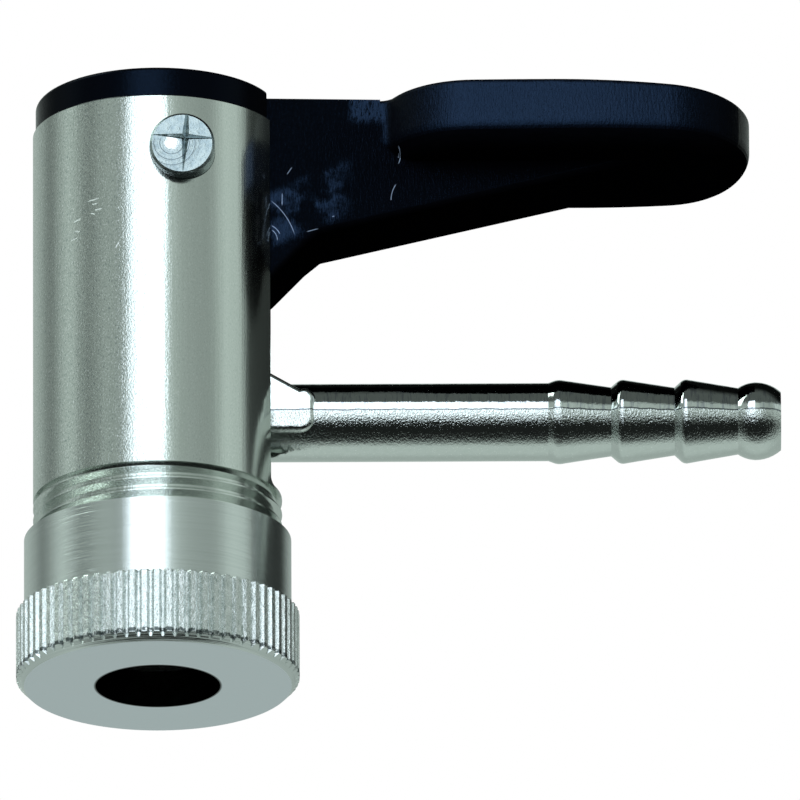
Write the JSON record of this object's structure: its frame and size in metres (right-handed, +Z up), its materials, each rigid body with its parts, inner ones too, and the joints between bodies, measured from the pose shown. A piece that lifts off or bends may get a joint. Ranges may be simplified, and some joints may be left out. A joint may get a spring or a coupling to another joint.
{
  "type": "lever-lock tyre valve connector",
  "caption": "Lever-lock air chuck: cam lever squeezes a rubber seal onto a tyre valve; knurled clamp nut below, barbed hose spigot at the side.",
  "frame": {"origin": "centre of the valve hole in the clamp nut's lower face", "axes": "+Z up the barrel's axis, +X the way the lever and the hose spigot point"},
  "size_m": [0.0615, 0.0228, 0.0494],
  "materials": {
    "plated_tube": "satin-polished plated metal with fine scratches",
    "turned_nut": "plated metal with fine turning lines",
    "black_cap": "moulded black plastic, satin",
    "black_lever": "moulded black plastic, soft gloss, light scratches at the root",
    "pin_steel": "turned end faces, staked with a cross",
    "plated_forging": "bright plating over a forged skin with fine orange peel",
    "plate_steel": "ground steel",
    "ring_brass": "turned brass",
    "black_rubber": "moulded black rubber, matt"
  },
  "bodies": {
    "barrel": {"barrel": "plated_tube", "end_cap": "black_cap", "pivot_pin": "pin_steel"},
    "lever": {"lever": "black_lever"},
    "plunger": {"plunger": "plated_forging", "cam_plate": "plate_steel", "pressure_ring": "ring_brass", "depressor_pin": "ring_brass"},
    "slip_ring": {"slip_ring": "plate_steel", "seal": "black_rubber"},
    "clamp_nut": {"clamp_nut": "turned_nut"}
  },
  "joints": [
    {"name": "lever_lift", "type": "hinge", "parent": "barrel", "child": "lever", "pos_m": [0.0021, 0, 0.04232], "axis": [0, -1, 0], "range_deg": [0, 90]},
    {"name": "plunger_slide", "type": "slide", "parent": "barrel", "child": "plunger", "axis": [0, 0, 1], "range_m": [0, 0.002], "deforming": ["seal"]},
    {"name": "nut_travel", "type": "slide", "parent": "barrel", "child": "slip_ring", "axis": [0, 0, 1], "range_m": [-0.006, 0]},
    {"name": "nut_turn", "type": "hinge", "parent": "slip_ring", "child": "clamp_nut", "pos_m": [0, 0, 0], "axis": [0, 0, 1], "range_deg": [-2160, 0]}
  ],
  "couplings": [
    {"joint": "lever_lift", "follows": "plunger_slide", "rad_per_m": 785.4},
    {"joint": "nut_travel", "follows": "nut_turn", "m_per_rad": 0.00015915}
  ]
}
